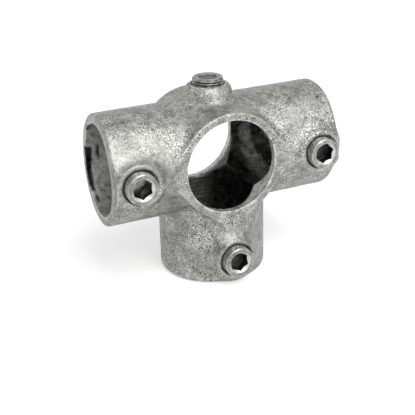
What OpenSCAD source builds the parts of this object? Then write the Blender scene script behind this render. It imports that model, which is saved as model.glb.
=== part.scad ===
// Three-way cross tube clamp: a cast body with three sockets and a through collar,
// held on its tubes by four set screws with hexagon sockets.
// Millimetres, +Z up. The origin is where the tube axes cross.
// X runs along the two run sockets, Y along the through tube, and the stem socket points to -Z.

/* [Tube and bores] */
// outside diameter of the tube that the clamp takes
tube_od = 48.3; // [47:0.1:50]
// radial play of a tube in the two run sockets
socket_play = 0.35; // [0.15:0.05:0.5]
// radial play of the tube in the stem socket
stem_play = 0.35; // [0.15:0.05:0.5]
// radial play of the tube that passes through the collar
through_play = 0.8; // [0.6:0.05:1]
// length of the guiding land inside each face of the collar
through_land = 3.9; // [3.2:0.1:4.2]
// how far the collar is cored wider between its lands, on the radius
core_relief = 0.6; // [0.3:0.1:0.8]
// bevel at the inner edge of each mouth
mouth_bevel = 1; // [0.4:0.1:1.5]

/* [Casting] */
// wall of the run sockets
run_wall = 5.35; // [5:0.05:6.2]
// wall of the stem socket
stem_wall = 4.95; // [4.6:0.05:5.6]
// wall of the through collar
collar_wall = 4.1; // [3.6:0.1:4.5]
// distance from the crossing to the end of each run socket
run_reach = 65; // [61:0.5:72]
// distance from the crossing to the end of the stem socket
stem_reach = 67.2; // [63:0.1:74]
// distance from the crossing to each face of the through collar
collar_reach = 28.7; // [28:0.1:29.5]
// slope of the shallow hollow around a collar face, off the face
relief_slope = 8; // [6:0.5:14]
// rounding of the outer edge at the end of the run sockets
run_end_round = 1.8; // [0.8:0.1:2.6]
// rounding of the outer edge at the end of the stem socket
stem_end_round = 2.7; // [0.8:0.1:3]
// rounding of the outer edge of the collar faces
collar_edge_round = 0.6; // [0.3:0.1:1]
// radius of the cast blends between the barrels
blend_r = 3.4; // [2.2:0.1:4.4]

/* [Screw pads] */
// distance from the end of a run socket to its screw
run_inset = 13.2; // [12.6:0.1:16]
// distance from the end of the stem socket to its screw
stem_inset = 14.7; // [13.8:0.1:18]
// diameter of the run and stem pads
pad_d = 23.4; // [22.8:0.1:25]
// diameter of the collar pad
collar_pad_d = 25.7; // [24:0.1:27.4]
// height of the run pads over the barrel
run_pad_rise = 2.4; // [1.8:0.1:3.4]
// height of the stem pad over the barrel
stem_pad_rise = 3.7; // [2:0.1:4.4]
// height of the collar pad over the collar
collar_pad_rise = 9.2; // [7.4:0.1:10.2]
// radius of the cast blend at the foot of the run and stem pads, where they stand high enough
pad_blend_r = 4; // [1.6:0.1:5]
// radius of the cast blend at the foot of the collar pad
collar_pad_blend_r = 4; // [2.2:0.1:4.6]
// rounding of the face edge of the run and stem pads
pad_round = 1; // [0.6:0.1:1.2]
// rounding of the face edge of the collar pad
collar_pad_round = 3.2; // [1.6:0.1:3.4]
// how far a pad's foot stops short of the end of its barrel
pad_end_gap = 0.7; // [0.3:0.1:1.2]
// depth of the countersink at a threaded hole
sink_depth = 1.4; // [0.8:0.1:2.2]

/* [Set screws] */
// outside diameter of the screw thread
screw_d = 16.66; // [15:0.01:17]
// radial play of the screw in its threaded hole
screw_play = 0.05; // [0.03:0.01:0.08]
// length of a screw
screw_len = 11; // [10:0.1:12]
// how far the run and stem screws stand out of their pads
front_proud = 3.5; // [2.6:0.1:4.4]
// how far the collar screw stands out of its pad
collar_proud = 2.9; // [1.6:0.1:3.4]
// width across flats of the hexagon socket
hex_af = 9.5; // [6:0.5:10]
// depth of the hexagon socket
hex_depth = 5.9; // [4.5:0.1:6.5]
// bevel of the screw's outer end
screw_bevel = 0.5; // [0.4:0.1:1.3]
// bevel of the screw's inner end
tip_bevel = 1.6; // [1:0.1:2]
// diameter of the hollow cup in the screw's tip
cup_d = 10; // [8:0.5:11]
// depth of that cup
cup_depth = 1.5; // [0.8:0.1:1.8]
// depth of the countersink at the mouth of the hexagon socket
hex_sink = 1.2; // [0.7:0.1:1.4]
// turn of the left screw's hexagon in its hole, in degrees
left_turn = 30; // [0:1:60]
// turn of the right screw's hexagon in its hole, in degrees
right_turn = 19; // [0:1:60]
// turn of the stem screw's hexagon in its hole, in degrees
stem_turn = 38; // [0:1:60]
// turn of the collar screw's hexagon in its hole, in degrees
collar_turn = 10; // [0:1:60]

/* [Hidden] */
$fn = 96;
eps = 0.01;
socket_r = tube_od / 2 + socket_play;
stem_bore_r = tube_od / 2 + stem_play;
through_r = tube_od / 2 + through_play;
run_r = socket_r + run_wall;
stem_r = stem_bore_r + stem_wall;
collar_r = through_r + collar_wall;
run_station = run_reach - run_inset;
stem_station = stem_reach - stem_inset;
run_pad_top = run_r + run_pad_rise;
stem_pad_top = stem_r + stem_pad_rise;
collar_pad_top = collar_r + collar_pad_rise;
screw_r = screw_d / 2;
hole_r = screw_r + screw_play;
hex_corner_r = hex_af / 2 / cos(30);
blend_sink = 0.2;
blend_core = 1.6;
blend_steps = 40;
pad_steps = 28;
cast_grey = [0.62, 0.62, 0.6];
zinc_grey = [0.56, 0.56, 0.54];
// node to draw, or all of them

function unit(v) = v / norm(v);

// Half section of a bar from the crossing out to reach, its outer edge rounded.
module end_profile(r, reach, edge) {
    square([r - edge, reach]);
    square([r, reach - edge]);
    translate([r - edge, reach - edge])
        circle(edge);
}

// Solid round bar along +Z with a rounded end.
module barrel(r, reach, edge) {
    rotate_extrude()
        intersection() {
            end_profile(r, reach, edge);
            square([r, reach]);
        }
}

// Bore along +Z from the crossing, with a bevelled mouth.
module bore(r, reach, bevel) {
    cylinder(r = r, h = reach + 1);
    translate([0, 0, reach - bevel])
        cylinder(r1 = r, r2 = r + bevel + eps, h = bevel + eps);
}

// Ball-rolled blend where a bar of radius rb along +Z leaves a bar of radius ra along X:
// a ring of sections, each an arc that touches both bars and closes inside them. The ball has
// radius full, or less where the side of the second bar is straight only up to a lower height.
module blend(ra, rb, full, steps, height) {
    arc_steps = 4;
    ring = arc_steps + 2;
    points = [
        for (i = [0 : steps - 1])
            let (
                turn = 360 * i / steps,
                f = min(full, height - sqrt(max(0, pow(ra, 2) - pow(rb * sin(turn), 2)))),
                x = (rb + f) * cos(turn),
                y = (rb + f) * sin(turn),
                ball = [x, y, sqrt(pow(ra + f, 2) - pow(y, 2))],
                to_a = -[0, ball.y, ball.z] / (ra + f),
                to_b = -[ball.x, ball.y, 0] / (rb + f)
            )
            for (j = [0 : ring - 1])
                j > arc_steps
                    ? ball + blend_core * f * (to_a + to_b)
                    : ball + (f + (j % arc_steps == 0 ? blend_sink : 0))
                        * unit(to_a + (to_b - to_a) * j / arc_steps)
    ];
    faces = [
        for (i = [0 : steps - 1])
            for (j = [0 : ring - 1])
                let (
                    here = i * ring,
                    next = (i + 1) % steps * ring,
                    k = (j + 1) % ring
                )
                for (half = [0, 1])
                    half == 0 ? [here + j, here + k, next + k] : [here + j, next + k, next + j]
    ];
    polyhedron(points, faces);
}

// Raised pad of radius pad_r on the +Z side of a bar of radius bar_r along X, with a blend
// of radius foot at its base and its face at top, rounded by edge; it stops at near and far
// along the bar.
module pad(bar_r, pad_r, top, edge, foot, near, far) {
    intersection() {
        union() {
            barrel(pad_r, top, edge);
            blend(bar_r, pad_r, foot, pad_steps, top - edge);
        }
        translate([-near, -top, bar_r / 2])
            cube([near + far, 2 * top, top]);
    }
}

// Threaded hole along +Z through a wall, with a countersink at the pad's face.
module screw_hole(top, from) {
    translate([0, 0, from])
        cylinder(r = hole_r, h = top - from + 1);
    translate([0, 0, top - sink_depth])
        cylinder(r1 = hole_r, r2 = hole_r + sink_depth + eps, h = sink_depth + eps);
}

// Turns a feature modelled on +Z to the left, right, stem or collar side.
module to_left() {
    rotate([0, -90, 0])
        children();
}
module to_right() {
    rotate([0, 90, 0])
        children();
}
module to_stem() {
    rotate([180, 0, 0])
        children();
}
module to_front() {
    rotate([90, 0, 0])
        children();
}
module to_back() {
    rotate([-90, 0, 0])
        children();
}

// Places a feature modelled on +Z at a screw of the front, with local +X out along the arm:
// side is -1 left, 1 right.
module at_run(side) {
    translate([side * run_station, 0, 0])
        to_front()
            rotate([0, 0, side > 0 ? 0 : 180])
                children();
}
module at_stem() {
    translate([0, 0, -stem_station])
        to_front()
            rotate([0, 0, -90])
                children();
}

// Shallow hollow in the run around a collar face, so that the face shows as a whole ring.
module collar_relief() {
    rise = run_r + blend_r + 1 - collar_reach;
    translate([0, 0, collar_reach])
        cylinder(r1 = collar_r, r2 = collar_r + rise / tan(relief_slope), h = rise);
}

// Outer form of the cast body: barrels, collar and pads with their blends.
module cast_form() {
    difference() {
        union() {
            to_left()
                barrel(run_r, run_reach, run_end_round);
            to_right()
                barrel(run_r, run_reach, run_end_round);
            to_stem()
                barrel(stem_r, stem_reach, stem_end_round);
            to_front()
                barrel(collar_r, collar_reach, collar_edge_round);
            to_back()
                barrel(collar_r, collar_reach, collar_edge_round);
            to_stem()
                blend(run_r, stem_r, blend_r, blend_steps, stem_reach);
            to_front()
                blend(run_r, collar_r, blend_r, blend_steps, run_r + blend_r);
            to_back()
                blend(run_r, collar_r, blend_r, blend_steps, run_r + blend_r);
        }
        to_front()
            collar_relief();
        to_back()
            collar_relief();
    }
    for (side = [-1, 1])
        at_run(side)
            pad(run_r, pad_d / 2, run_pad_top, pad_round, pad_blend_r,
                run_station / 2, run_inset - pad_end_gap);
    at_stem()
        pad(stem_r, pad_d / 2, stem_pad_top, pad_round, pad_blend_r,
            stem_station / 2, stem_inset - pad_end_gap);
    rotate([0, 0, 90])
        pad(collar_r, collar_pad_d / 2, collar_pad_top, collar_pad_round, collar_pad_blend_r,
            collar_reach - pad_end_gap, collar_reach - pad_end_gap);
}

// The cast body, bored and tapped.
module casting() {
    color(cast_grey)
        difference() {
            cast_form();
            to_left()
                bore(socket_r, run_reach, mouth_bevel);
            to_right()
                bore(socket_r, run_reach, mouth_bevel);
            to_stem()
                bore(stem_bore_r, stem_reach, mouth_bevel);
            to_front()
                bore(through_r, collar_reach, mouth_bevel);
            to_back()
                bore(through_r, collar_reach, mouth_bevel);
            to_front()
                cylinder(r = through_r + core_relief, h = 2 * (collar_reach - through_land), center = true);
            for (side = [-1, 1])
                at_run(side)
                    screw_hole(run_pad_top, socket_r / 2);
            at_stem()
                screw_hole(stem_pad_top, stem_bore_r / 2);
            screw_hole(collar_pad_top, through_r / 2);
        }
}

// Set screw along +Z with its outer end at face: bevelled ends, hexagon socket and cup point.
module set_screw(face, turn) {
    color(zinc_grey)
        translate([0, 0, face - screw_len])
            difference() {
                union() {
                    cylinder(r1 = screw_r - tip_bevel, r2 = screw_r, h = tip_bevel);
                    translate([0, 0, tip_bevel])
                        cylinder(r = screw_r, h = screw_len - tip_bevel - screw_bevel);
                    translate([0, 0, screw_len - screw_bevel])
                        cylinder(r1 = screw_r, r2 = screw_r - screw_bevel, h = screw_bevel);
                }
                translate([0, 0, screw_len - hex_depth])
                    rotate([0, 0, turn])
                        cylinder(r = hex_corner_r, h = hex_depth + 1, $fn = 6);
                translate([0, 0, screw_len - hex_sink])
                    cylinder(r1 = hex_af / 2 - eps, r2 = hex_corner_r + hex_sink / 2, h = hex_sink + eps);
                translate([0, 0, -eps])
                    cylinder(d1 = cup_d, d2 = 0, h = cup_depth);
            }
}

module left_screw() {
    at_run(-1)
        set_screw(run_pad_top + front_proud, left_turn);
}
module right_screw() {
    at_run(1)
        set_screw(run_pad_top + front_proud, right_turn);
}
module stem_screw() {
    at_stem()
        set_screw(stem_pad_top + front_proud, stem_turn + 90);
}
module collar_screw() {
    set_screw(collar_pad_top + collar_proud, collar_turn);
}

casting();
left_screw();
right_screw();
stem_screw();
collar_screw();
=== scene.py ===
"""Visual model of a three-way cross tube clamp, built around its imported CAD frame.

The casting is meshed from a distance field of rounded barrels, pads and bores, and the four
set screws are turned meshes with a helical thread. Sizes are in millimetres, meshes in metres.
"""
import logging
import math
from dataclasses import dataclass, field
from enum import Enum
from typing import Sequence

import bpy
import numpy as np
from mathutils import Matrix, Vector


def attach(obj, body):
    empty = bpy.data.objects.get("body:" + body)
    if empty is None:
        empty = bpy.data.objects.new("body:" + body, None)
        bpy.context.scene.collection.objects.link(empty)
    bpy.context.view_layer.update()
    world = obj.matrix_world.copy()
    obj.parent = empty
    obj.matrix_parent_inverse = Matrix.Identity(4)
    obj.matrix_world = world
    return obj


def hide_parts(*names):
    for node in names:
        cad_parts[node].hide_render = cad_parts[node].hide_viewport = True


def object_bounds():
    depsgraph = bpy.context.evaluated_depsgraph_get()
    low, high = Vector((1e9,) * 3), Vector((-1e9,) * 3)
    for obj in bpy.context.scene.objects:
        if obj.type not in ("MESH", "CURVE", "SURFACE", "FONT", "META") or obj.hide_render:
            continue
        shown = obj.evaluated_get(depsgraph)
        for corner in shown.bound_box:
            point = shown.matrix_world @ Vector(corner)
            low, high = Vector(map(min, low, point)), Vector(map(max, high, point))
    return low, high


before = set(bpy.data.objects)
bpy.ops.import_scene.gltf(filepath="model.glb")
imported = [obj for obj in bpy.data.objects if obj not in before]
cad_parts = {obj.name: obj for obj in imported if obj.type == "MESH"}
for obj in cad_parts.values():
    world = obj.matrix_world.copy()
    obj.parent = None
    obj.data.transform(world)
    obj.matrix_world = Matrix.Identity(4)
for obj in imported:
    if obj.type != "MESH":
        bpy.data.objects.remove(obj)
CAD_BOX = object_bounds()

LOG = logging.getLogger("tube_clamp")
MM = 0.001

Colour = tuple[float, float, float, float]
Stops = Sequence[tuple[float, Colour]]
Span = tuple[float, float, float, float]
Band = tuple[float, float]
Socket = bpy.types.NodeSocket
Places = Sequence[np.ndarray]

SIDES = (-1, 1)
SIXTH = math.pi / 3.0
# Sockets of a colour mix: share, first and second colour, and the result.
MIX_INPUTS = (0, 6, 7)
MIX_COLOUR = 2
FRONT = (0.0, -1.0, 0.0)
UP = (0.0, 0.0, 1.0)
BACK = (0.0, 1.0, 0.0)
# How far the screws stand out of their pads, in mm.
FRONT_PROUD = 3.5
TOP_PROUD = 2.9


class Seat(Enum):
    """Where a set screw sits; the value is the name of its body and its CAD node."""

    LEFT = "left_screw"
    RIGHT = "right_screw"
    STEM = "stem_screw"
    COLLAR = "collar_screw"


class Slot(Enum):
    """Material slots of the part."""

    GALVANISED = "galvanised_iron"
    ZINC = "zinc_steel"


def grey(level: float, warmth: float = 0.0) -> Colour:
    """Linear colour of a grey.

    Args:
        level: Linear brightness.
        warmth: Share by which blue falls short of red and green.

    Returns:
        An RGBA colour.
    """
    return (level, level * (1.0 + 0.2 * warmth), level * (1.0 - warmth), 1.0)


def smooth_step(low: float, high: float, value: np.ndarray) -> np.ndarray:
    """Smooth rise from 0 at low to 1 at high.

    Args:
        low: Value where the rise starts.
        high: Value where it ends; it may be the smaller one.
        value: Values to map.

    Returns:
        Array of the same shape as value.
    """
    t = np.clip((value - low) / (high - low), 0.0, 1.0)
    return t * t * (3.0 - 2.0 * t)


def bell(value: np.ndarray, middle: float, width: float) -> np.ndarray:
    """Bell curve that is 1 at its middle and about a third at its width."""
    return np.exp(-(((value - middle) / width) ** 2))


def bar_distance(
    radial: np.ndarray, axial: np.ndarray, radius: float, half: float, edge: float
) -> np.ndarray:
    """Distance to a round bar whose end edges are rounded, negative inside.

    Args:
        radial: Distance of each point from the bar's axis.
        axial: Distance of each point from the bar's middle, along the axis.
        radius: Radius of the bar.
        half: Half its length.
        edge: Rounding radius of its end edges.

    Returns:
        Signed distances.
    """
    out_r = radial - (radius - edge)
    out_a = axial - (half - edge)
    inside = np.minimum(np.maximum(out_r, out_a), 0.0)
    return inside + np.hypot(np.maximum(out_r, 0.0), np.maximum(out_a, 0.0)) - edge


def ball_union(first: np.ndarray, second: np.ndarray, ball: float) -> np.ndarray:
    """Union of two solids with the blend that a rolling ball leaves between them.

    Args:
        first: Signed distances of one solid.
        second: Signed distances of the other.
        ball: Radius of the ball.

    Returns:
        Signed distances of the union.
    """
    corner = np.hypot(np.maximum(ball - first, 0.0), np.maximum(ball - second, 0.0))
    return np.maximum(ball, np.minimum(first, second)) - corner


def soft_cut(solid: np.ndarray, tool: np.ndarray, edge: float) -> np.ndarray:
    """Signed distances of a solid less a tool, with the edges of the cut rounded."""
    return -ball_union(-solid, tool, edge)


@dataclass
class Waves:
    """Seeded sum of sine waves over space, for unevenness that is the same on each run."""

    seed: int
    shortest: float
    longest: float
    count: int = 14

    def __post_init__(self) -> None:
        """Draws the directions, lengths and phases of the waves."""
        rng = np.random.default_rng(self.seed)
        way = rng.normal(size=(self.count, 3))
        way /= np.linalg.norm(way, axis=1, keepdims=True)
        length = rng.uniform(self.shortest, self.longest, self.count)
        self.number = way * (2.0 * math.pi / length)[:, None]
        self.phase = rng.uniform(0.0, 2.0 * math.pi, self.count)

    def at(self, p: Places) -> np.ndarray:
        """Height of the waves.

        Args:
            p: First, second and third coordinates in mm.

        Returns:
            Heights, mostly between -1 and 1.
        """
        x, y, z = p
        total = np.zeros(np.broadcast(x, y, z).shape)
        for (kx, ky, kz), phase in zip(self.number, self.phase):
            total += np.sin(kx * x + ky * y + kz * z + phase)
        return total / math.sqrt(2.0 * self.count)


@dataclass
class FieldMesher:
    """Meshes a distance field with one vertex per crossed cell, set on the field's own edges."""

    solid: "Casting"
    low: np.ndarray
    high: np.ndarray
    step: float
    nudge: float = 0.02
    searches: int = 5
    settlings: int = 2
    least_slope: float = 0.25
    stiffness: float = 0.08
    tiny: float = 1e-12

    def gradient(self, points: np.ndarray) -> np.ndarray:
        """Gradient of the field.

        Args:
            points: Points in mm, one per row.

        Returns:
            One vector per row, pointing out of the solid.
        """
        rows = []
        for axis in range(3):
            shift = np.zeros(3)
            shift[axis] = self.nudge
            ahead = self.solid.distance((points + shift).T)
            rows.append(ahead - self.solid.distance((points - shift).T))
        return np.stack(rows, axis=1) / (2.0 * self.nudge)

    def crossings(self, values: np.ndarray, axis: int) -> tuple[np.ndarray, np.ndarray, np.ndarray]:
        """Grid edges along one axis that pass through the surface.

        Args:
            values: The field at the grid's nodes.
            axis: 0, 1 or 2.

        Returns:
            Node index of each edge's start, the point where it crosses, and whether it leaves
            the solid.
        """
        start = [slice(None)] * 3
        end = [slice(None)] * 3
        start[axis] = slice(None, -1)
        end[axis] = slice(1, None)
        a = values[tuple(start)]
        b = values[tuple(end)]
        index = np.argwhere((a < 0.0) != (b < 0.0))
        fa = a[tuple(index.T)]
        fb = b[tuple(index.T)]
        lo = np.zeros(len(index))
        hi = np.ones(len(index))
        origin = self.low + index * self.step
        way = np.zeros(3)
        way[axis] = self.step
        for _ in range(self.searches):
            t = np.clip(lo + (hi - lo) * fa / (fa - fb), lo, hi)
            f = self.solid.distance((origin + t[:, None] * way).T)
            same = (f < 0.0) == (fa < 0.0)
            lo, fa = np.where(same, t, lo), np.where(same, f, fa)
            hi, fb = np.where(same, hi, t), np.where(same, fb, f)
            fa = np.where(fa == fb, fa + self.tiny, fa)
        t = np.where(np.abs(fa) < np.abs(fb), lo, hi)
        return index, origin + t[:, None] * way, a[tuple(index.T)] < 0.0

    def mesh(self) -> tuple[np.ndarray, np.ndarray]:
        """Meshes the field.

        Returns:
            Vertices in mm and quads of vertex numbers, seen from outside.
        """
        counts = np.ceil((self.high - self.low) / self.step).astype(int) + 1
        lines = [self.low[k] + self.step * np.arange(counts[k]) for k in range(3)]
        values = self.solid.distance(np.meshgrid(*lines, indexing="ij"))
        cells = counts - 1
        quads, owners, points = [], [], []
        for axis in range(3):
            index, crossing, leaves = self.crossings(values, axis)
            u, v = (axis + 1) % 3, (axis + 2) % 3
            ring = []
            for du, dv in ((1, 1), (0, 1), (0, 0), (1, 0)):
                cell = index.copy()
                cell[:, u] -= du
                cell[:, v] -= dv
                ring.append(np.ravel_multi_index(tuple(cell.T), tuple(cells)))
            ring = np.stack(ring, axis=1)
            quads.append(np.where(leaves[:, None], ring, ring[:, ::-1]))
            owners.append(ring)
            points.append(crossing)
        corner = np.concatenate(quads)
        owner = np.concatenate(owners)
        point = np.concatenate(points)
        used, corner_id = np.unique(corner, return_inverse=True)
        owner_id = np.searchsorted(used, owner)
        vertices = self.place(owner_id, point, len(used))
        base = np.stack(np.unravel_index(used, tuple(cells)), axis=1) * self.step + self.low
        vertices = np.clip(vertices, base, base + self.step)
        for _ in range(self.settlings):
            slope = self.gradient(vertices)
            steep = np.maximum((slope**2).sum(axis=1), self.least_slope)
            vertices = vertices - (self.solid.distance(vertices.T) / steep)[:, None] * slope
        return vertices, corner_id.reshape(corner.shape)

    def place(self, owner: np.ndarray, point: np.ndarray, count: int) -> np.ndarray:
        """Puts each cell's vertex where the tangent planes of its crossings meet.

        Args:
            owner: The four cells around each crossing.
            point: The crossings.
            count: Number of cells.

        Returns:
            One vertex per cell.
        """
        normal = self.gradient(point)
        normal /= np.maximum(np.linalg.norm(normal, axis=1, keepdims=True), self.tiny)
        flat = owner.ravel()
        p = np.repeat(point, 4, axis=0)
        n = np.repeat(normal, 4, axis=0)
        share = np.bincount(flat, minlength=count).astype(float)
        middle = np.stack([np.bincount(flat, p[:, k], count) / share for k in range(3)], axis=1)
        gap = np.einsum("ij,ij->i", n, p - middle[flat])
        matrix = np.empty((count, 3, 3))
        right = np.empty((count, 3))
        for i in range(3):
            right[:, i] = np.bincount(flat, n[:, i] * gap, count)
            for j in range(3):
                matrix[:, i, j] = np.bincount(flat, n[:, i] * n[:, j], count)
        matrix += self.stiffness * np.eye(3)
        return middle + np.linalg.solve(matrix, right[:, :, None])[:, :, 0]


@dataclass(frozen=True)
class Grain:
    """A layer of cloudy noise: size of its grains in mm, number of finer layers and their weight."""

    size: float
    detail: float
    rough: float


class ShaderGraph:
    """Adds nodes to one new material and links them."""

    def __init__(self, name: str) -> None:
        """Starts a material with a principled surface.

        Args:
            name: Name of the material.
        """
        self.material = bpy.data.materials.new(name)
        self.material.use_nodes = True
        self.tree = self.material.node_tree
        self.surface = self.tree.nodes["Principled BSDF"]

    def add(self, kind: str, **settings: object) -> bpy.types.Node:
        """Adds a node.

        Args:
            kind: Node type.
            **settings: Properties to set on it.

        Returns:
            The node.
        """
        node = self.tree.nodes.new(kind)
        for name, value in settings.items():
            setattr(node, name, value)
        return node

    def put(self, socket: Socket, value: object) -> None:
        """Links an output to an input, or sets the input's own value.

        Args:
            socket: The input.
            value: An output socket, a number or a colour.
        """
        if isinstance(value, Socket):
            self.tree.links.new(value, socket)
        else:
            socket.default_value = value

    def feed(self, node: bpy.types.Node, **inputs: object) -> bpy.types.Node:
        """Sets or links inputs of a node; an underscore in a name stands for a space.

        Args:
            node: The node.
            **inputs: A value or an output socket for each input.

        Returns:
            The same node.
        """
        for name, value in inputs.items():
            self.put(node.inputs[name.replace("_", " ")], value)
        return node

    def place(self) -> Socket:
        """Position on the object, in metres."""
        return self.add("ShaderNodeTexCoord").outputs["Object"]

    def noise(self, where: Socket, layer: Grain) -> Socket:
        """Cloudy noise.

        Args:
            where: Position.
            layer: Its grain.

        Returns:
            The noise, about 0 to 1.
        """
        node = self.add("ShaderNodeTexNoise")
        scale = 1.0 / (layer.size * MM)
        self.feed(node, Vector=where, Scale=scale, Detail=layer.detail, Roughness=layer.rough)
        return node.outputs["Fac"]

    def span(self, value: Socket, ends: Span) -> Socket:
        """Maps a value from one range to another, clamped.

        Args:
            value: The value.
            ends: Start and end of its range, and the results there.

        Returns:
            The mapped value.
        """
        node = self.add("ShaderNodeMapRange")
        low, high, start, end = ends
        self.feed(node, Value=value, From_Min=low, From_Max=high, To_Min=start, To_Max=end)
        return node.outputs["Result"]

    def ramp(self, value: Socket, stops: Stops) -> Socket:
        """Colour ramp.

        Args:
            value: Position on the ramp.
            stops: Positions and colours.

        Returns:
            The colour.
        """
        node = self.add("ShaderNodeValToRGB")
        bar = node.color_ramp.elements
        while len(bar) < len(stops):
            bar.new(1.0)
        for element, (place, colour) in zip(bar, stops):
            element.position = place
            element.color = colour
        self.tree.links.new(value, node.inputs["Fac"])
        return node.outputs["Color"]

    def mix(self, share: Socket, first: object, second: object) -> Socket:
        """Mixes two colours.

        Args:
            share: Share of the second.
            first: Colour or socket.
            second: Colour or socket.

        Returns:
            The mixed colour.
        """
        node = self.add("ShaderNodeMix", data_type="RGBA")
        for index, value in zip(MIX_INPUTS, (share, first, second)):
            self.put(node.inputs[index], value)
        return node.outputs[MIX_COLOUR]

    def math(self, way: str, first: object, second: object) -> Socket:
        """Joins two numbers.

        Args:
            way: Operation.
            first: Number or socket.
            second: Number or socket.

        Returns:
            The result.
        """
        node = self.add("ShaderNodeMath", operation=way)
        for index, value in enumerate((first, second)):
            self.put(node.inputs[index], value)
        return node.outputs[0]

    def attribute(self, name: str) -> Socket:
        """Number that the mesh carries at each vertex."""
        return self.add("ShaderNodeAttribute", attribute_name=name).outputs["Fac"]

    def bump(self, height: Socket, depth: float, strength: float) -> None:
        """Roughens the surface.

        Args:
            height: Height of the relief, 0 to 1.
            depth: Depth of the relief in mm.
            strength: How much of it shows.
        """
        node = self.add("ShaderNodeBump")
        self.feed(node, Height=height, Distance=depth * MM, Strength=strength)
        self.feed(self.surface, Normal=node.outputs["Normal"])


@dataclass(frozen=True)
class GalvanisedFinish:
    """Hot-dip zinc on sand-cast iron: speckled grey, with painted shade deep in the bores and in creases,
    and edge wear with a painted highlight.
    """

    dark: Colour = grey(0.05, 0.05)
    middle: Colour = grey(0.28, 0.05)
    light: Colour = grey(0.62, 0.04)
    tones: tuple[float, float, float] = (0.37, 0.5, 0.64)
    # Light grey for edge wear and painted highlights.
    wear_and_highlight_grey: Colour = grey(0.62, 0.03)
    crevice_shade_grey: Colour = grey(0.1, 0.05)
    # Black of the painted shade in the bores and countersinks, and of the dark flecks.
    shade_and_fleck_black: Colour = grey(0.004)
    speckle: Grain = Grain(0.7, 3.0, 0.65)
    mottle: Grain = Grain(3.0, 4.0, 0.6)
    patch: Grain = Grain(10.0, 3.0, 0.55)
    drift: Grain = Grain(19.0, 2.0, 0.5)
    speckle_middle: float = 0.5
    drift_speckle: Span = (0.4, 0.62, 0.5, 1.25)
    coarse_speckle: Span = (0.0, 1.0, 0.5, 1.7)
    speckle_weight: float = 0.64
    mottle_weight: float = 0.24
    patch_weight: float = 0.15
    base_tone: float = 0.305
    edge_wear_and_highlight_show: Span = (0.35, 0.6, 0.1, 0.7)
    crevice_shade_show: Span = (0.3, 0.6, 0.7, 0.25)
    shade_and_fleck_show: Span = (0.35, 0.6, 0.88, 1.0)
    rough: Span = (0.3, 0.7, 0.4, 0.58)
    relief_depth: float = 0.3
    relief_show: float = 0.85
    metal: float = 1.0

    def make(self) -> bpy.types.Material:
        """Builds the material.

        Returns:
            The material.
        """
        g = ShaderGraph("galvanised_iron_finish")
        where = g.place()
        speckle = g.noise(where, self.speckle)
        mottle = g.noise(where, self.mottle)
        patch = g.noise(where, self.patch)
        drift = g.span(g.noise(where, self.drift), self.drift_speckle)
        coarse = g.math("MULTIPLY", drift, g.span(g.attribute("coarse"), self.coarse_speckle))
        fine = g.math("MULTIPLY", g.math("SUBTRACT", speckle, self.speckle_middle), coarse)
        sand = g.math("MULTIPLY", fine, self.speckle_weight)
        relief = g.math("ADD", sand, g.math("MULTIPLY", mottle, self.mottle_weight))
        tone = g.math("ADD", relief, g.math("MULTIPLY", patch, self.patch_weight))
        tone = g.math("ADD", tone, self.base_tone)
        zinc = g.ramp(tone, tuple(zip(self.tones, (self.dark, self.middle, self.light))))
        # Edge wear and painted highlight: outer edges, and bore walls with a painted highlight, are mixed
        # towards light grey.
        edge = g.math("MULTIPLY", g.attribute("edge"), g.span(mottle, self.edge_wear_and_highlight_show))
        # Painted shade: creases and hollows are darkened by how sharply the surface bends inwards.
        crevice_shade = g.math("MULTIPLY", g.attribute("crevice_shade"), g.span(speckle, self.crevice_shade_show))
        # Painted shade: this mask darkens the deep bores, the collar's far wall and the countersinks
        # towards black, with dark flecks inside the left mouth.
        shade_and_flecks = g.math("MULTIPLY", g.attribute("shade_and_flecks"), g.span(mottle, self.shade_and_fleck_show))
        colour = g.mix(edge, zinc, self.wear_and_highlight_grey)
        colour = g.mix(crevice_shade, colour, self.crevice_shade_grey)
        colour = g.mix(shade_and_flecks, colour, self.shade_and_fleck_black)
        g.feed(g.surface, Base_Color=colour, Roughness=g.span(mottle, self.rough), Metallic=self.metal)
        g.bump(relief, self.relief_depth, self.relief_show)
        return g.material


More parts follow.
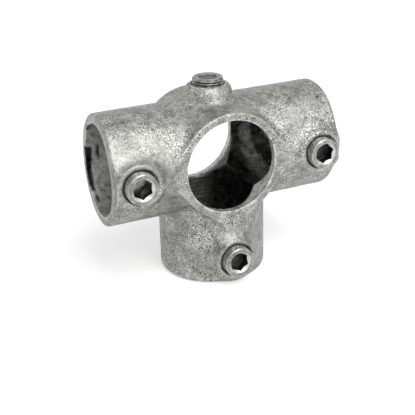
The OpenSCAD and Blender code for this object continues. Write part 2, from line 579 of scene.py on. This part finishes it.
@dataclass(frozen=True)
class ZincSteelFinish:
    """Satin zinc plate on turned steel: scuffs, rims lightened by wear and a painted highlight, and grime
    with painted shade in the hexagon and thread.
    """

    dark: Colour = grey(0.1, 0.06)
    middle: Colour = grey(0.25, 0.06)
    light: Colour = grey(0.5, 0.05)
    tones: tuple[float, float, float] = (0.34, 0.5, 0.66)
    # Light grey for worn rims with a painted highlight.
    wear_and_highlight_grey: Colour = grey(0.7, 0.03)
    grime_and_shade_black: Colour = grey(0.006)
    scuff: Grain = Grain(0.5, 3.0, 0.6)
    cloud: Grain = Grain(2.7, 3.0, 0.6)
    scuff_weight: float = 0.45
    cloud_weight: float = 0.55
    grime_and_shade_show: Span = (0.38, 0.6, 0.88, 1.0)
    wear_and_highlight_show: Span = (0.35, 0.6, 0.65, 1.0)
    rough: Span = (0.3, 0.7, 0.32, 0.48)
    relief_depth: float = 0.09
    relief_show: float = 0.5
    metal: float = 1.0

    def make(self) -> bpy.types.Material:
        """Builds the material.

        Returns:
            The material.
        """
        g = ShaderGraph("zinc_steel_finish")
        where = g.place()
        scuff = g.noise(where, self.scuff)
        cloud = g.noise(where, self.cloud)
        marks = g.math("MULTIPLY", scuff, self.scuff_weight)
        tone = g.math("ADD", marks, g.math("MULTIPLY", cloud, self.cloud_weight))
        zinc = g.ramp(tone, tuple(zip(self.tones, (self.dark, self.middle, self.light))))
        # Grime and painted shade darken the hexagon socket and the thread's valleys, painted lighter on
        # one side.
        grime_and_shade = g.math("MULTIPLY", g.attribute("grime_and_shade"), g.span(scuff, self.grime_and_shade_show))
        # Wear and painted highlight: the lip of the hexagon's countersink and the rim of the face are
        # lightened.
        wear_and_highlight = g.math("MULTIPLY", g.attribute("wear_and_highlight"), g.span(scuff, self.wear_and_highlight_show))
        colour = g.mix(grime_and_shade, g.mix(wear_and_highlight, zinc, self.wear_and_highlight_grey), self.grime_and_shade_black)
        g.feed(g.surface, Base_Color=colour, Roughness=g.span(cloud, self.rough), Metallic=self.metal)
        g.bump(scuff, self.relief_depth, self.relief_show)
        return g.material


def add_mesh(
    name: str, vertices: np.ndarray, faces: Sequence[Sequence[int]], sharp: float
) -> bpy.types.Object:
    """Makes a smooth-shaded object of a mesh given in mm.

    Args:
        name: Name of the object.
        vertices: Vertices in mm.
        faces: Vertex numbers of each face.
        sharp: Angle in degrees over which an edge shows as sharp.

    Returns:
        The object, linked to the scene.
    """
    mesh = bpy.data.meshes.new(name)
    mesh.from_pydata((np.asarray(vertices) * MM).tolist(), [], faces)
    mesh.validate()
    mesh.shade_smooth()
    mesh.set_sharp_from_angle(angle=math.radians(sharp))
    obj = bpy.data.objects.new(name, mesh)
    bpy.context.scene.collection.objects.link(obj)
    return obj


def set_vertex_values(obj: bpy.types.Object, name: str, values: np.ndarray) -> None:
    """Stores a number at each vertex of an object, under a name."""
    layer = obj.data.attributes.new(name, "FLOAT", "POINT")
    layer.data.foreach_set("value", np.asarray(values, dtype=np.float32))


@dataclass(frozen=True)
class EndFace:
    """End of a run socket, a little out of square as it was fettled."""

    reach: float
    along_y: float
    along_z: float
    least: float = 0.06

    def short(self, y: np.ndarray, z: np.ndarray, nominal: float) -> np.ndarray:
        """How far the end stops short of its nominal reach, in mm."""
        return np.maximum(nominal - self.reach - self.along_y * y - self.along_z * z, self.least)


@dataclass(frozen=True)
class BoreShadeAndFlecks:
    """Painted shade deep in the bores, on the collar's far wall and in the countersinks, with lighter
    lanes and patches in it, and a dark streak and flecks inside the left mouth; lengths in mm from the
    crossing, shares 0 to 1.

    A band is where something starts to show and where it shows in full.
    """

    wall: Band = (1.0, 0.6)
    run_clear: float = 1.7
    stem_clear: float = 1.1
    full_depth: float = 9.0
    lane_at: float = 34.0
    lane_wide: float = 4.8
    lane_sway: float = 1.5
    lane_fleck: float = 0.25
    lane_band: Band = (0.25, 0.9)
    lane_light: float = 0.42
    haze_fleck: float = 0.5
    haze_band: Band = (-0.5, 0.8)
    haze_light: float = 0.22
    streak_at: float = -63.2
    streak_half: float = 0.9
    streak_widening: float = 0.055
    streak_foot: float = -20.0
    streak_widens_for: float = 25.0
    streak_lean: float = 0.9
    streak_edge: Band = (0.5, -0.3)
    streak_middle: float = -7.0
    streak_ends: Band = (12.5, 10.5)
    streak_wander: float = 2.0
    ragged: float = 0.3
    flecks: tuple[tuple[float, float, float, float], ...] = (
        (-62.4, 18.0, 0.7, 2.0),
        (-55.6, 1.2, 0.7, 4.4),
        (-61.4, -21.0, 0.8, 1.3),
    )
    fleck_edge: Band = (1.3, 0.7)
    stem_streak_rate: float = 2.4
    stem_streak_sway: float = 2.0
    lighter_patch_band: Band = (13.0, -2.0)
    lighter_patch_sway: float = 3.0
    lighter_patch_most: float = 0.9
    land_band: Band = (24.6, 23.5)
    land_wall: Band = (1.0, 0.7)
    land_most: float = 0.85
    sink_rim: Band = (0.8, 0.1)
    sink_most: float = 0.7


@dataclass(frozen=True)
class SkinMarks:
    """Where sand has marked the skin, where edges carry wear with a painted highlight, where bore walls
    are painted lighter and creases painted darker; lengths in mm.
    """

    collar_highlight: Band = (1.0, 0.7)
    collar_highlight_out: float = 0.35
    socket_pale_band: Band = (0.8, 0.4)
    edge_wear_and_highlight_bend: Band = (0.62, 1.76)
    edge_wear_and_highlight_most: float = 0.8
    crevice_shade_bend: Band = (-0.13, -0.53)
    neck_at: float = -42.0
    neck_wide: float = 11.0
    neck_past: float = 1.0
    neck_band: Band = (30.0, -18.0)
    neck_share: float = 0.75
    right_at: float = 50.0
    right_wide: float = 14.0
    right_band: Band = (-8.0, 12.0)
    right_share: float = 0.35
    all_share: float = 0.42
    stain_share: float = 0.2


@dataclass
class Casting:
    """The cast body: two run sockets, a stem socket, a through collar and four screw pads."""

    run_r: float = 29.85
    run_reach: float = 65.0
    left_end: EndFace = EndFace(64.0, -0.043, -0.023)
    right_end: EndFace = EndFace(63.9, 0.016, 0.028)
    run_end_round: float = 1.8
    stem_r: float = 29.45
    stem_reach: float = 67.2
    stem_end_round: float = 2.7
    collar_r: float = 29.05
    collar_reach: float = 28.7
    collar_edge_round: float = 0.7
    relief_slope: float = 8.0
    blend: float = 3.4
    socket_r: float = 24.5
    through_r: float = 24.95
    through_land: float = 3.9
    core_relief: float = 0.6
    mouth_bevel: float = 0.45
    run_station: float = 51.8
    stem_station: float = 52.5
    pad_r: float = 11.7
    collar_pad_r: float = 12.85
    run_pad_top: float = 32.25
    stem_pad_top: float = 33.15
    collar_pad_top: float = 38.25
    pad_blend: float = 6.0
    collar_pad_blend: float = 4.6
    pad_round: float = 1.1
    pad_end_gap: float = 0.7
    collar_pad_round: float = 4.8
    hole_r: float = 8.38
    sink_depth: float = 1.4
    cut_round: float = 0.4
    ridge_round: float = 0.7
    lump: float = 0.11
    swell_share: float = 0.65
    grid: float = 0.82
    quick_coarser: float = 2.0
    grid_margin: float = 1.6
    bend_reach: float = 0.45
    sharp_angle: float = 38.0
    # Painted shade in the bores and countersinks, and the dark flecks inside the left mouth.
    scale: BoreShadeAndFlecks = BoreShadeAndFlecks()
    marks: SkinMarks = SkinMarks()
    swell: Waves = field(default_factory=lambda: Waves(seed=3, shortest=8.0, longest=25.0))
    peel: Waves = field(default_factory=lambda: Waves(seed=5, shortest=2.8, longest=5.8, count=18))
    stain: Waves = field(default_factory=lambda: Waves(seed=11, shortest=7.0, longest=23.0))

    def outer(self, p: Places) -> np.ndarray:
        """Distance to the outer form: barrels, collar and pads with their blends.

        Args:
            p: First, second and third coordinates in mm.

        Returns:
            Signed distances.
        """
        x, y, z = p
        about_y = np.hypot(x, z)
        along = self.along_run(p)
        run = bar_distance(np.hypot(y, z), along, self.run_r, self.run_reach, self.run_end_round)
        half = self.stem_reach / 2
        stem = bar_distance(np.hypot(x, y), np.abs(z + half), self.stem_r, half, self.stem_end_round)
        collar = bar_distance(about_y, np.abs(y), self.collar_r, self.collar_reach, self.collar_edge_round)
        form = ball_union(ball_union(run, stem, self.blend), collar, self.blend)
        slope = math.radians(self.relief_slope)
        face = self.collar_reach + np.maximum(about_y - self.collar_r, 0.0) * math.tan(slope)
        form = soft_cut(form, (face - np.abs(y)) * math.cos(slope), self.cut_round)
        for side in SIDES:
            about = np.hypot(x - side * self.run_station, z)
            form = self.low_pad(form, about, -y, self.run_pad_top, along - self.run_reach)
        about = np.hypot(x, z + self.stem_station)
        form = self.low_pad(form, about, -y, self.stem_pad_top, -z - self.stem_reach)
        about = np.hypot(x, y)
        pad = bar_distance(about, np.abs(z), self.collar_pad_r, self.collar_pad_top, self.collar_pad_round)
        form = ball_union(form, np.maximum(pad, -z), self.collar_pad_blend)
        swell = self.swell_share * self.swell.at(p)
        waves = swell + (1.0 - self.swell_share) * self.peel.at(p)
        return form + self.lump * (1.0 + np.clip(waves, -1.0, 1.0))

    def low_pad(
        self, form: np.ndarray, about: np.ndarray, out: np.ndarray, top: float, end: np.ndarray
    ) -> np.ndarray:
        """Adds a low pad: blended into the barrel at its foot, faced off, and short of the barrel's end.

        Args:
            form: Signed distances without the pad.
            about: Distance from the pad's axis, in mm.
            out: Distance from the barrel's axis, along the pad.
            top: Where the pad's face is.
            end: Distance past the end of the barrel.

        Returns:
            Signed distances with the pad.
        """
        post = ball_union(form, np.maximum(about - self.pad_r, -out), self.pad_blend)
        post = soft_cut(post, top - out, self.pad_round)
        return np.minimum(form, np.maximum(post, end + self.pad_end_gap))

    def along_run(self, p: Places) -> np.ndarray:
        """Distance from the crossing along the run, measured so that each end is at its nominal reach.

        Args:
            p: First, second and third coordinates in mm.

        Returns:
            Lengths in mm.
        """
        x, y, z = p
        left = self.left_end.short(y, z, self.run_reach)
        right = self.right_end.short(y, z, self.run_reach)
        return np.abs(x) + np.where(x < 0.0, left, right)

    def mouth(self, radial: np.ndarray, axial: np.ndarray, radius: float, reach: float) -> np.ndarray:
        """Signed distances to a bore of some radius whose bevelled mouth lies at some reach."""
        bevel = (radial - radius - (axial - reach + self.mouth_bevel)) * math.sqrt(0.5)
        return np.minimum(radial - radius, bevel)

    def hole(self, radial: np.ndarray, out: np.ndarray, top: float) -> np.ndarray:
        """Signed distances to a screw's hole, countersunk from the face of its pad at top."""
        sink = (radial - self.hole_r - (out - top + self.sink_depth)) * math.sqrt(0.5)
        return np.maximum(np.minimum(radial - self.hole_r, sink), self.socket_r / 2 - out)

    def cavity(self, p: Places) -> np.ndarray:
        """Distance to all that is bored out.

        Args:
            p: First, second and third coordinates in mm.

        Returns:
            Signed distances.
        """
        x, y, z = p
        run = self.mouth(np.hypot(y, z), self.along_run(p), self.socket_r, self.run_reach)
        stem = np.maximum(self.mouth(np.hypot(x, y), -z, self.socket_r, self.stem_reach), z)
        about_y = np.hypot(x, z)
        through = self.mouth(about_y, np.abs(y), self.through_r, self.collar_reach)
        core = np.maximum(
            about_y - self.through_r - self.core_relief, np.abs(y) - self.collar_reach + self.through_land
        )
        sockets = ball_union(run, stem, self.ridge_round)
        bores = ball_union(sockets, np.minimum(through, core), self.ridge_round)
        holes = self.hole(np.hypot(x, z + self.stem_station), -y, self.stem_pad_top)
        holes = np.minimum(holes, self.hole(np.hypot(x, y), z, self.collar_pad_top))
        for side in SIDES:
            radial = np.hypot(x - side * self.run_station, z)
            holes = np.minimum(holes, self.hole(radial, -y, self.run_pad_top))
        return np.minimum(bores, holes)

    def distance(self, p: Places) -> np.ndarray:
        """Signed distances to the casting, negative inside the metal."""
        return soft_cut(self.outer(p), self.cavity(p), self.cut_round)

    def shade_and_flecks(self, p: Places) -> np.ndarray:
        """How much painted shade darkens the bores and countersinks, with a dark streak and flecks inside
        the left mouth.

        Args:
            p: First, second and third coordinates in mm.

        Returns:
            Shares from 0, none, to 1, black.
        """
        x, y, z = p
        s = self.scale
        stain = self.stain.at(p)
        fleck = self.peel.at(p)
        wall = [self.socket_r + past for past in s.wall]
        in_run = smooth_step(*wall, np.hypot(y, z))
        in_stem = smooth_step(*wall, np.hypot(x, y))

        # Painted shade: the right socket darkens with depth, lifted in a lighter lane and haze.
        along = self.along_run(p)
        deep = smooth_step(self.run_reach - s.run_clear, self.run_reach - s.full_depth, along)
        lane = bell(x - s.lane_sway * stain, s.lane_at, s.lane_wide) - s.lane_fleck * fleck
        haze = smooth_step(*s.haze_band, stain - s.haze_fleck * fleck)
        light = s.lane_light * smooth_step(*s.lane_band, lane) + s.haze_light * haze
        right = in_run * (x > 0.0) * deep * (1.0 - light)

        # A dark streak and flecks on the back wall inside the left mouth.
        half = s.streak_half + s.streak_widening * np.clip(z - s.streak_foot, 0.0, s.streak_widens_for)
        off = np.abs(x - s.streak_at - s.streak_lean * half - s.ragged * fleck)
        left = smooth_step(half + s.streak_edge[0], half + s.streak_edge[1], off)
        left *= smooth_step(*s.streak_ends, np.abs(z - s.streak_middle + s.streak_wander * fleck))
        for at, height, wide, tall in s.flecks:
            spot = np.hypot((x - at) / wide, (z - height) / tall) - s.ragged * fleck
            left = np.maximum(left, smooth_step(*s.fleck_edge, spot))
        left = in_run * (x < 0.0) * (y > 0.0) * left

        # Painted shade: the stem's bore darkens with depth, lifted in a lighter streaked patch.
        low = smooth_step(self.stem_reach - s.stem_clear, self.stem_reach - s.full_depth, -z)
        stem_streaks = 0.5 + 0.5 * np.sin(s.stem_streak_rate * z + s.stem_streak_sway * stain)
        lighter_patch = smooth_step(*s.lighter_patch_band, x + s.lighter_patch_sway * stain) * (0.5 + 0.5 * stem_streaks)
        stem = in_stem * (z < 0.0) * low * (1.0 - s.lighter_patch_most * lighter_patch)

        # Painted shade on the far wall of the collar's bore.
        land = smooth_step(*s.land_wall, np.abs(np.hypot(x, z) - self.through_r))
        land *= (y > 0.0) * (x > 0.0) * smooth_step(*s.land_band, y)
        bores = np.maximum(np.maximum(right, left), np.maximum(stem, s.land_most * land))
        return np.maximum(bores, self.screw_shade(p))

    def screw_shade(self, p: Places) -> np.ndarray:
        """Painted shade in the countersinks round the screws.

        Args:
            p: First, second and third coordinates in mm.

        Returns:
            Shares from 0 to 1.
        """
        x, y, z = p
        rim = [self.hole_r + past for past in self.scale.sink_rim]
        fronts = [np.hypot(x - side * self.run_station, z) for side in SIDES]
        fronts.append(np.hypot(x, z + self.stem_station))
        shade = (z > self.socket_r) * smooth_step(*rim, np.hypot(x, y))
        for radial in fronts:
            shade = np.maximum(shade, (y < -self.socket_r) * smooth_step(*rim, radial))
        return self.scale.sink_most * shade

    def lightened(self, p: Places) -> np.ndarray:
        """How far a painted highlight lightens the collar's bore walls, and a paler band the left socket's
        bore.

        Args:
            p: First, second and third coordinates in mm.

        Returns:
            Shares from 0 to 1.
        """
        x, y, z = p
        m = self.marks
        # Painted highlight on the collar's bore walls; a paler band in the left socket's bore.
        wall = smooth_step(*m.collar_highlight, np.abs(np.hypot(x, z) - self.through_r - m.collar_highlight_out))
        through = wall * (np.abs(y) < self.collar_reach - self.mouth_bevel / 2)
        left = smooth_step(*m.socket_pale_band, np.abs(np.hypot(y, z) - self.socket_r)) * (x < -self.through_r)
        return np.maximum(through, left)

    def coarse(self, p: Places) -> np.ndarray:
        """How strongly the sand has marked the skin: most on the stem's neck and the right barrel.

        Args:
            p: First, second and third coordinates in mm.

        Returns:
            Shares from 0 to 1.
        """
        x, _, z = p
        m = self.marks
        neck = bell(z, m.neck_at, m.neck_wide) * smooth_step(*m.neck_band, x)
        neck *= np.abs(x) < self.stem_r + m.neck_past
        right = bell(x, m.right_at, m.right_wide) * smooth_step(*m.right_band, z)
        local = m.neck_share * neck + m.right_share * right + m.stain_share * self.stain.at(p)
        return np.clip(m.all_share + local, 0.0, 1.0)

    def bend(self, points: np.ndarray) -> np.ndarray:
        """How sharply the surface bends: the field at six near points, less six times its own value.

        Args:
            points: Points of the surface in mm, one per row.

        Returns:
            Bend per mm, positive at outer edges and negative in hollows.
        """
        total = -6.0 * self.distance(points.T)
        for axis in range(3):
            for way in (-self.bend_reach, self.bend_reach):
                moved = points.copy()
                moved[:, axis] += way
                total += self.distance(moved.T)
        return total / self.bend_reach**2

    def build(self) -> bpy.types.Object:
        """Meshes the casting.

        Returns:
            The object.
        """
        step = self.grid * 1.0
        low = np.array([-self.run_reach, -self.stem_pad_top, -self.stem_reach]) - self.grid_margin
        high = np.array([self.run_reach, self.run_r, self.collar_pad_top]) + self.grid_margin
        vertices, quads = FieldMesher(self, low, high, step).mesh()
        obj = add_mesh("cast_body", vertices, quads.tolist(), self.sharp_angle)
        # Painted shade in the bores and countersinks, and the dark flecks.
        set_vertex_values(obj, "shade_and_flecks", self.shade_and_flecks(vertices.T))
        set_vertex_values(obj, "coarse", self.coarse(vertices.T))
        bend = self.bend(vertices)
        # Edge wear with a painted highlight on outer edges, and painted highlight on the bore walls.
        edge = self.marks.edge_wear_and_highlight_most * smooth_step(*self.marks.edge_wear_and_highlight_bend, bend)
        set_vertex_values(obj, "edge", np.maximum(edge, self.lightened(vertices.T)))
        # Painted shade in creases and hollows.
        set_vertex_values(obj, "crevice_shade", smooth_step(*self.marks.crevice_shade_bend, bend))
        return obj

    def dress(self, obj: bpy.types.Object, finish: bpy.types.Material) -> None:
        """Gives the casting its finish and its place in the frame.

        Args:
            obj: The casting.
            finish: Its material.
        """
        obj.data.materials.append(finish)
        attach(obj, "casting")
        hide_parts("casting")


@dataclass
class SetScrew:
    """A set screw with a hexagon socket, a pipe thread and a cup point."""

    seat: Seat
    foot: tuple[float, float, float]
    out: tuple[float, float, float]
    second: tuple[float, float, float]
    face: float
    turn: float
    fill: float = 0.0
    # How dark the hexagon socket is painted, grime and painted shade, and how far it is lightened on the
    # high side where light falls.
    shade_and_dirt: float = 1.0
    tilt: float = 0.0
    high_and_lit_side: float = 135.0
    # How far the rims show wear with a painted highlight.
    lightened: float = 1.0
    radius: float = 8.33
    length: float = 11.0
    bevel: float = 0.5
    tip_bevel: float = 1.6
    pitch: float = 1.337
    thread_depth: float = 0.7
    hex_flats: float = 9.5
    hex_depth: float = 5.9
    hex_sink: float = 1.4
    sink_wide: float = 0.55
    cup_r: float = 5.0
    cup_depth: float = 1.5
    hub: float = 0.3
    around: int = 144
    ring_step: float = 0.11
    edge: float = 0.14
    soft: float = 0.2
    floor_core: float = 0.55
    floor_dish: float = 0.25
    lip: float = 0.03
    groove: Band = (0.18, 0.5)
    crest: float = 0.04
    valley: Band = (0.35, 0.95)
    valley_shade: float = 0.85
    bevel_wear_and_highlight: float = 0.2
    tip_dirt: float = 0.2
    cup_dirt: float = 0.5
    sharp_angle: float = 32.0

    def angles(self) -> np.ndarray:
        """Angles of the points round the screw, in radians."""
        return np.linspace(0.0, 2.0 * math.pi, self.around, endpoint=False)

    def thread(self, angle: np.ndarray, depth: float) -> np.ndarray:
        """Radius of the thread, cut off by the bevels at both ends.

        Args:
            angle: Angles round the screw, in radians.
            depth: Depth below the outer face, in mm.

        Returns:
            Radii in mm.
        """
        phase = (depth / self.pitch - angle / (2.0 * math.pi)) % 1.0
        cut = smooth_step(*self.groove, np.minimum(phase, 1.0 - phase) + self.crest)
        body = self.radius - self.thread_depth * cut
        front = self.radius - self.bevel + depth
        back = self.radius - self.tip_bevel + self.length - depth
        return np.minimum(np.minimum(body, front), back)

    def rings(self) -> list[tuple[np.ndarray, np.ndarray, np.ndarray, float]]:
        """Rings of points from the bottom of the hexagon round to the cup in the tip.

        Returns:
            Radii, depths below the outer face, grime with painted shade, and wear with a painted
            highlight, of each ring.
        """
        angle = self.angles()
        zero = np.zeros(self.around)
        flats = self.hex_flats / 2
        hexagon = flats / np.cos((angle - math.radians(self.turn)) % SIXTH - SIXTH / 2)
        sink_r = flats / math.cos(SIXTH / 2) + self.sink_wide
        rim = (sink_r - hexagon) * self.hex_sink / (sink_r - flats)
        # On the high side the zinc fill stands higher and the painted shade is lighter, as light falls
        # there.
        high = 0.5 + 0.5 * np.cos(angle - math.radians(self.high_and_lit_side))
        floor = self.hex_depth - self.fill * (1.0 - self.tilt * (1.0 - high))
        shade_and_dirt = self.shade_and_dirt * (1.0 - self.tilt * high)
        face = self.radius - self.bevel
        edge, soft = self.edge, self.soft
        rings = [
            (self.floor_core * hexagon, floor + self.floor_dish, shade_and_dirt, 0.0),
            (hexagon - soft, floor, shade_and_dirt, 0.0),
            (hexagon, floor - soft, shade_and_dirt, 0.0),
            (hexagon, 0.5 * (floor + rim), 0.8 * shade_and_dirt, 0.0),
            (hexagon, rim + soft, 0.5 * shade_and_dirt, 0.0),
            # Wear and painted highlight on the lip of the hexagon's countersink and on the rim of the
            # face.
            (hexagon + self.lip, rim, zero, 1.0),
            (zero + sink_r - edge, zero + edge, zero, 0.8),
            (zero + sink_r + edge, zero, zero, 0.3),
            (zero + sink_r + 2 * edge, zero, zero, 0.0),
            (zero + face - 2 * edge, zero, zero, 0.0),
            (zero + face - 0.5 * edge, zero, zero, self.bevel_wear_and_highlight),
        ]
        # Painted shade darkens the thread's valleys.
        low, full = (share * self.thread_depth for share in self.valley)
        for depth in np.arange(edge, self.length - self.ring_step / 2, self.ring_step):
            radius = self.thread(angle, depth)
            shade_and_dirt = self.valley_shade * smooth_step(low, full, self.radius - radius) * (depth > self.bevel)
            rings.append((radius, zero + depth, shade_and_dirt, self.bevel_wear_and_highlight * (depth < self.bevel)))
        tip_r = self.radius - self.tip_bevel - edge
        rings.append((zero + tip_r, zero + self.length, zero + self.tip_dirt, 0.0))
        rings.append((zero + self.cup_r, zero + self.length, zero + self.tip_dirt, 0.0))
        rings.append((zero + self.hub, zero + self.length - self.cup_depth, zero + self.cup_dirt, 0.0))
        return rings

    def build(self) -> bpy.types.Object:
        """Meshes the screw in its place.

        Returns:
            The object.
        """
        foot, out = np.array(self.foot), np.array(self.out)
        second = np.array(self.second)
        first = np.cross(second, out)
        angle = self.angles()
        round_about = np.cos(angle)[:, None] * first + np.sin(angle)[:, None] * second
        rows, grime_and_shade, wear_and_highlight = [], [], []
        for radius, depth, shade_and_dirt, ring_wear_and_highlight in self.rings():
            rows.append(foot + radius[:, None] * round_about + (self.face - depth)[:, None] * out)
            grime_and_shade.append(shade_and_dirt)
            wear_and_highlight.append(np.full(self.around, self.lightened * ring_wear_and_highlight))
        count = len(rows)
        n = self.around
        faces = [list(range(n))]
        for ring in range(count - 1):
            for k in range(n):
                here, there = ring * n + k, ring * n + (k + 1) % n
                faces.append([there, here, here + n, there + n])
        faces.append(list(range((count - 1) * n, count * n))[::-1])
        obj = add_mesh(f"{self.seat.value}_turned", np.concatenate(rows), faces, self.sharp_angle)
        set_vertex_values(obj, "grime_and_shade", np.concatenate(grime_and_shade))
        set_vertex_values(obj, "wear_and_highlight", np.concatenate(wear_and_highlight))
        return obj

    def dress(self, obj: bpy.types.Object, finish: bpy.types.Material) -> None:
        """Gives the screw its finish and its place in the frame.

        Args:
            obj: The screw.
            finish: Its material.
        """
        obj.data.materials.append(finish)
        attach(obj, self.seat.value)
        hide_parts(self.seat.value)


def set_screws(casting: Casting) -> list[SetScrew]:
    """The four set screws, as they stand in the photo.

    Args:
        casting: The casting that they sit in.

    Returns:
        The screws with their places, hexagon turns and how far zinc fills their sockets.
    """
    run, stem = casting.run_station, casting.stem_station
    run_face = casting.run_pad_top + FRONT_PROUD
    stem_face = casting.stem_pad_top + FRONT_PROUD
    top_face = casting.collar_pad_top + TOP_PROUD
    left = {"turn": 30.0, "fill": 4.6, "shade_and_dirt": 0.86, "tilt": 0.85, "high_and_lit_side": 120.0}
    right = {"turn": 19.0, "shade_and_dirt": 0.97, "tilt": 0.16}
    low = {"turn": 38.0, "shade_and_dirt": 0.97, "tilt": 0.2, "high_and_lit_side": 200.0}
    top = {"turn": 10.0, "fill": 5.1, "shade_and_dirt": 0.5, "lightened": 0.15, "hex_sink": 0.5, "sink_wide": 0.3}
    return [
        SetScrew(Seat.LEFT, (-run, 0.0, 0.0), FRONT, UP, run_face, **left),
        SetScrew(Seat.RIGHT, (run, 0.0, 0.0), FRONT, UP, run_face, **right),
        SetScrew(Seat.STEM, (0.0, 0.0, -stem), FRONT, UP, stem_face, **low),
        SetScrew(Seat.COLLAR, (0.0, 0.0, 0.0), UP, BACK, top_face, **top),
    ]


@dataclass(frozen=True)
class Lamp:
    """A round soft light aimed at the crossing; sizes in metres, angles in degrees from the front."""

    name: str
    power: float
    size: float
    distance: float
    azimuth: float
    elevation: float

    def hang(self) -> bpy.types.Object:
        """Hangs the light.

        Returns:
            The light.
        """
        a, e = math.radians(self.azimuth), math.radians(self.elevation)
        way = Vector((math.cos(e) * math.sin(a), -math.cos(e) * math.cos(a), math.sin(e)))
        data = bpy.data.lights.new(self.name, "AREA")
        data.shape = "DISK"
        data.size = self.size
        data.energy = self.power
        light = bpy.data.objects.new(self.name, data)
        light.location = way * self.distance
        light.rotation_euler = way.to_track_quat("Z", "Y").to_euler()
        bpy.context.scene.collection.objects.link(light)
        return light


@dataclass
class Studio:
    """Pale floor, soft light and the camera."""

    azimuth: float = 23.886
    elevation: float = 24.746
    roll: float = -1.603
    distance: float = 486.99
    lens: float = 77.57
    aim_across: float = 0.00212
    aim_up: float = 0.06489
    sensor: float = 36.0
    nearest: float = 0.01
    floor_half: float = 3000.0
    floor_tone: float = 0.74
    floor_rough: float = 0.9
    floor_fade: Span = (0.25, 0.8, 0.5, 1.0)
    world_light: float = 0.45
    lamps: tuple[Lamp, ...] = (
        Lamp("soft_key", 14.3, 1.03, 1.48, 8.0, 56.0),
        Lamp("low_fill", 6.5, 1.14, 1.71, 6.0, 14.0),
    )

    def camera(self) -> bpy.types.Object:
        """Sets up the camera.

        Returns:
            The camera.
        """
        a, e, r = (math.radians(v) for v in (self.azimuth, self.elevation, self.roll))
        ahead = Vector((math.cos(e) * math.sin(a), math.cos(e) * math.cos(a), -math.sin(e)))
        flat_right = Vector((math.cos(a), -math.sin(a), 0.0))
        flat_up = flat_right.cross(ahead)
        right = math.cos(r) * flat_right + math.sin(r) * flat_up
        up = -math.sin(r) * flat_right + math.cos(r) * flat_up
        data = bpy.data.cameras.new("photo_camera")
        data.lens = self.lens
        data.sensor_width = self.sensor
        data.clip_start = self.nearest
        camera = bpy.data.objects.new("photo_camera", data)
        place = -self.distance * MM * (ahead + self.aim_across * right + self.aim_up * up)
        turn = Matrix((right, up, -ahead)).transposed()
        camera.matrix_world = Matrix.Translation(place) @ turn.to_4x4()
        bpy.context.scene.collection.objects.link(camera)
        bpy.context.scene.camera = camera
        return camera

    def seen(self, graph: bpy.types.NodeTree) -> Socket:
        """One for rays of the camera, of gloss and of glass, and zero for rays that light.

        Args:
            graph: Node tree of the floor or the world.

        Returns:
            The number.
        """
        path = graph.nodes.new("ShaderNodeLightPath")
        last = path.outputs["Is Camera Ray"]
        for name in ("Is Glossy Ray", "Is Transmission Ray"):
            either = graph.nodes.new("ShaderNodeMath")
            either.operation = "MAXIMUM"
            graph.links.new(last, either.inputs[0])
            graph.links.new(path.outputs[name], either.inputs[1])
            last = either.outputs[0]
        return last

    def floor(self) -> bpy.types.Object:
        """Lays the floor under the clamp.

        Returns:
            The floor.
        """
        half = self.floor_half
        z = CAD_BOX[0][2] / MM
        corners = np.array([(-half, -half, z), (half, -half, z), (half, half, z), (-half, half, z)])
        obj = add_mesh("floor", corners, [[0, 1, 2, 3]], 180.0)
        g = ShaderGraph("floor_white")
        away = g.feed(g.add("ShaderNodeVectorMath", operation="LENGTH"), Vector=g.place())
        fade = g.span(away.outputs["Value"], self.floor_fade)
        g.feed(
            g.surface,
            Base_Color=grey(self.floor_tone),
            Roughness=self.floor_rough,
            Specular_IOR_Level=0.0,
            Emission_Color=grey(1.0),
            Emission_Strength=g.math("MULTIPLY", self.seen(g.tree), fade),
        )
        obj.data.materials.append(g.material)
        return obj

    def world(self) -> None:
        """Sets the white surroundings."""
        world = bpy.data.worlds.new("white_room")
        world.use_nodes = True
        bpy.context.scene.world = world
        tree = world.node_tree
        strength = tree.nodes.new("ShaderNodeMapRange")
        tree.links.new(self.seen(tree), strength.inputs["Value"])
        strength.inputs["To Min"].default_value = self.world_light
        strength.inputs["To Max"].default_value = 1.0
        background = tree.nodes["Background"]
        background.inputs["Color"].default_value = grey(1.0)
        tree.links.new(strength.outputs["Result"], background.inputs["Strength"])

    def build(self) -> None:
        """Sets up the whole studio."""
        bpy.context.scene.view_settings.view_transform = "Standard"
        self.camera()
        self.floor()
        self.world()
        for lamp in self.lamps:
            lamp.hang()


def main() -> None:
    """Builds and dresses the clamp and its studio."""
    logging.basicConfig(level=logging.INFO, format="%(name)s: %(message)s")
    galvanised = GalvanisedFinish().make()
    zinc = ZincSteelFinish().make()
    casting = Casting()
    body = casting.build()
    casting.dress(body, galvanised)
    LOG.info("%s: %d faces", body.name, len(body.data.polygons))
    for screw in set_screws(casting):
        obj = screw.build()
        screw.dress(obj, zinc)
        LOG.info("%s: %d faces", obj.name, len(obj.data.polygons))
    Studio().build()


if __name__ == "__main__":
    main()
